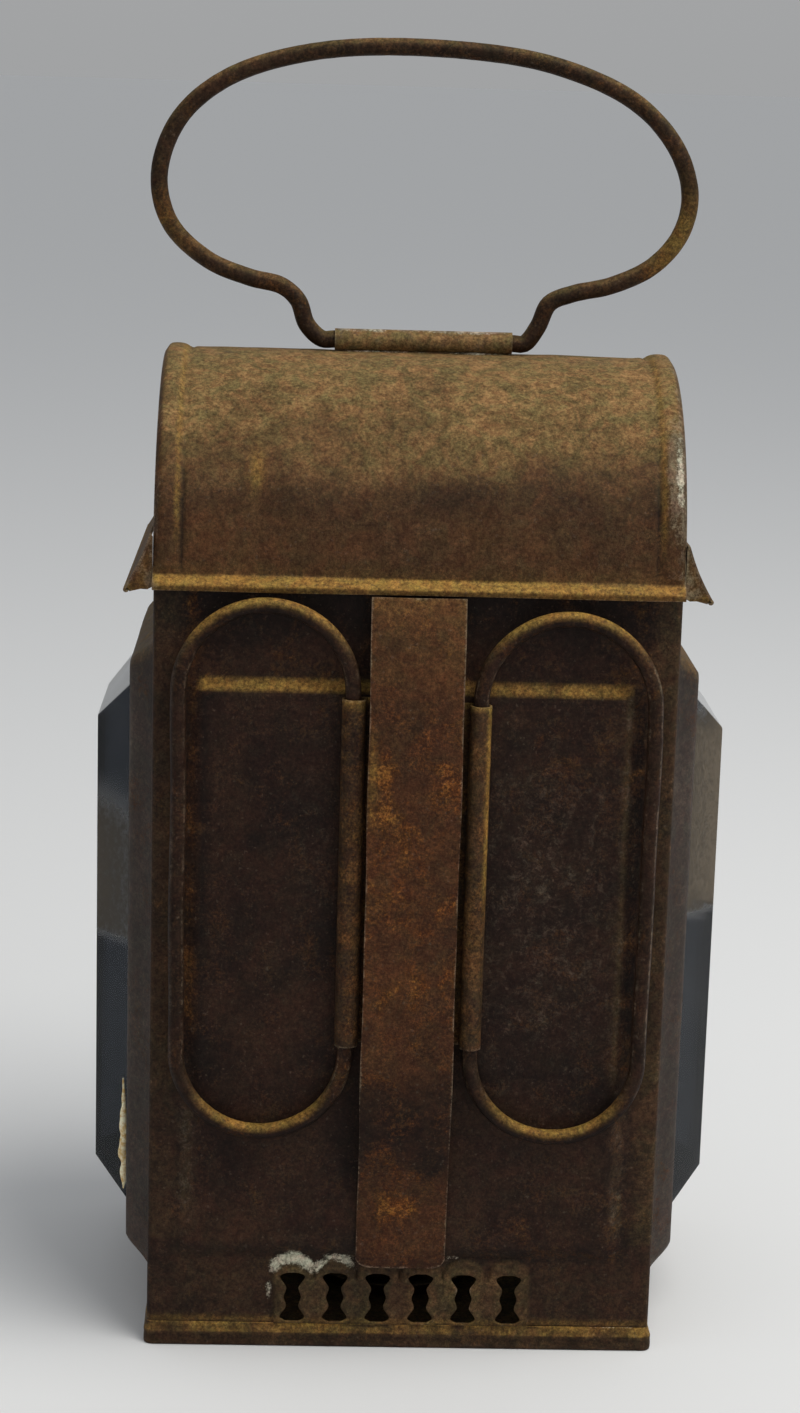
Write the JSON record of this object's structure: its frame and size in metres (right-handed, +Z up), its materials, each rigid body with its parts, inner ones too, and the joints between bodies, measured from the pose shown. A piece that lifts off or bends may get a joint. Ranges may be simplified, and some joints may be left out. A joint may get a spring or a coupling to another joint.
{
  "type": "candle lantern",
  "caption": "Rectangular sheet-iron candle lantern with a barrel hood, wire bail, bevelled side glasses, glazed front door, folding wire back grips and a belt strap.",
  "frame": {"origin": "middle of the base's underside, halfway between the side walls and between the rear and front walls", "axes": "+Z up, +X to the right when the back is looked at, -Y out of the back with the grips and strap, +Y out of the glazed door"},
  "size_m": [0.1206, 0.0934, 0.2506],
  "materials": {
    "tinplate": "dark varnished tinplate, worn and rusted, matt",
    "rusted_strap": "orange-brown rust, matt",
    "wire": "brown rusted steel wire, half matt",
    "glass": "old bevelled glass, dusty",
    "wax": "yellowed candle wax",
    "cotton": "charred cotton wick"
  },
  "bodies": {
    "case": {"base_pan": "tinplate", "rear_wall": "tinplate", "front_frame": "tinplate", "left_side_wall": "tinplate", "right_side_wall": "tinplate", "left_window_frame": "tinplate", "right_window_frame": "tinplate", "left_glass_retainer": "tinplate", "right_glass_retainer": "tinplate", "left_window_glass": "glass", "right_window_glass": "glass", "hood_shell": "tinplate", "left_hood_end": "tinplate", "right_hood_end": "tinplate", "left_eave": "tinplate", "right_eave": "tinplate", "bail_sleeve": "tinplate", "grip_hinge_plate": "tinplate", "belt_strap": "rusted_strap", "lower_case_knuckle": "tinplate", "upper_case_knuckle": "tinplate", "door_hinge_pin": "wire", "latch_rivet": "wire", "drip_tray": "tinplate", "candle_socket": "tinplate"},
    "bail": {"bail": "wire"},
    "left_grip": {"left_grip": "wire"},
    "right_grip": {"right_grip": "wire"},
    "door": {"door_frame": "tinplate", "door_glass": "glass", "door_glass_retainer": "tinplate", "door_knuckle": "tinplate", "door_pull": "wire"},
    "turn_button": {"turn_button": "tinplate"},
    "candle": {"candle": "wax", "wick": "cotton"}
  },
  "joints": [
    {"name": "bail_swing", "type": "hinge", "parent": "case", "child": "bail", "pos_m": [0, 0, 0.1933], "axis": [1, 0, 0], "range_deg": [-95, 95]},
    {"name": "left_grip_fold", "type": "hinge", "parent": "case", "child": "left_grip", "pos_m": [-0.0118, -0.0413, 0.097], "axis": [0, 0, 1], "range_deg": [0, 100]},
    {"name": "right_grip_fold", "type": "hinge", "parent": "case", "child": "right_grip", "pos_m": [0.012, -0.0413, 0.0965], "axis": [0, 0, -1], "range_deg": [0, 100]},
    {"name": "door_swing", "type": "hinge", "parent": "case", "child": "door", "pos_m": [0.0437, 0.04, 0.075], "axis": [0, 0, -1], "range_deg": [0, 110]},
    {"name": "turn_button_turn", "type": "hinge", "parent": "case", "child": "turn_button", "pos_m": [-0.0452, 0.0393, 0.075], "axis": [0, -1, 0], "range_deg": [0, 90]},
    {"name": "candle_lift", "type": "slide", "parent": "case", "child": "candle", "axis": [0, 0, 1], "range_m": [0, 0.024]}
  ]
}
